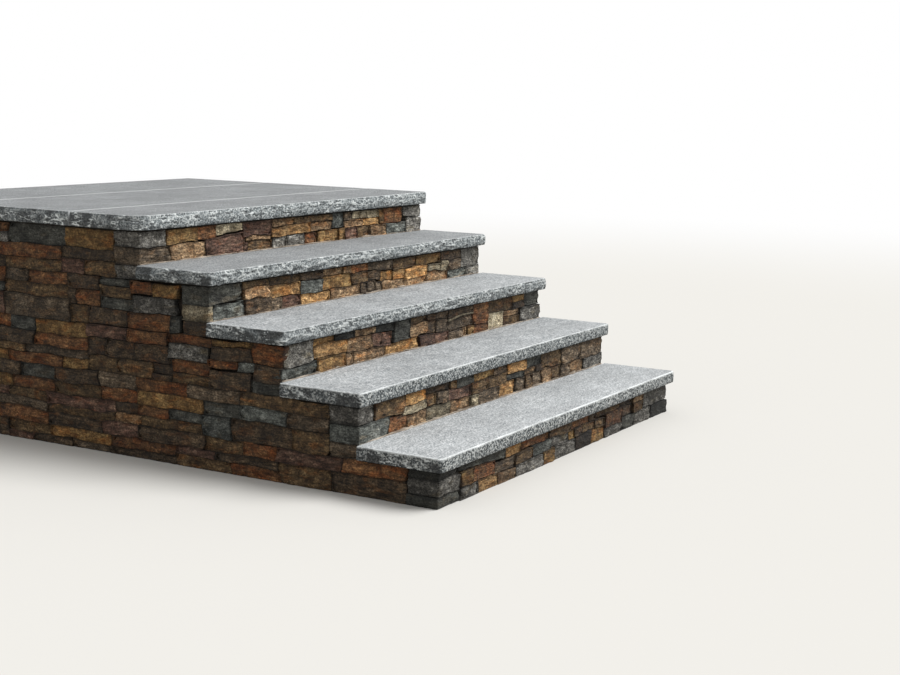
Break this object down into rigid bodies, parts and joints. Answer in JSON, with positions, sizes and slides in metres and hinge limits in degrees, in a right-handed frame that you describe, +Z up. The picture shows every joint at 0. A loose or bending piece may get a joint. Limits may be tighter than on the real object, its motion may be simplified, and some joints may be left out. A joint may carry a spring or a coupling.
{
  "type": "outdoor stone steps",
  "caption": "Straight flight of wide outdoor steps: thick granite treads and a granite landing with rock-pitched edges, on tight-laid ledgestone riser and side walls.",
  "frame": {"origin": "middle of the footprint, on the ground", "axes": "+X to the right of someone going up, +Y forwards and up the flight towards the house, +Z up"},
  "size_m": [2.158, 2.88, 0.9525],
  "materials": {
    "granite": "blue-grey granite, thermal top and rock-pitched edges",
    "ledgestone": "tight-laid rust, ochre and grey ledgestone",
    "corner_stone": "grey split corner stones",
    "mortar": "sandy mortar",
    "core": "concrete block and packed rubble"
  },
  "bodies": {
    "root": {"back_left_corner": "corner_stone", "back_right_corner": "corner_stone", "back_wall": "ledgestone", "core_1": "core", "core_2": "core", "core_3": "core", "core_4": "core", "core_5": "core", "landing_back": "granite", "landing_bed": "mortar", "landing_front": "granite", "landing_middle": "granite", "left_corner_1": "corner_stone", "left_corner_2": "corner_stone", "left_corner_3": "corner_stone", "left_corner_4": "corner_stone", "left_corner_5": "corner_stone", "left_wall_1": "ledgestone", "left_wall_2": "ledgestone", "left_wall_3": "ledgestone", "left_wall_4": "ledgestone", "left_wall_5": "ledgestone", "mortar_bed_1": "mortar", "mortar_bed_2": "mortar", "mortar_bed_3": "mortar", "mortar_bed_4": "mortar", "right_corner_1": "corner_stone", "right_corner_2": "corner_stone", "right_corner_3": "corner_stone", "right_corner_4": "corner_stone", "right_corner_5": "corner_stone", "right_wall_1": "ledgestone", "right_wall_2": "ledgestone", "right_wall_3": "ledgestone", "right_wall_4": "ledgestone", "right_wall_5": "ledgestone", "riser_wall_1": "ledgestone", "riser_wall_2": "ledgestone", "riser_wall_3": "ledgestone", "riser_wall_4": "ledgestone", "riser_wall_5": "ledgestone", "tread_1": "granite", "tread_2": "granite", "tread_3": "granite", "tread_4": "granite"}
  },
  "joints": []
}
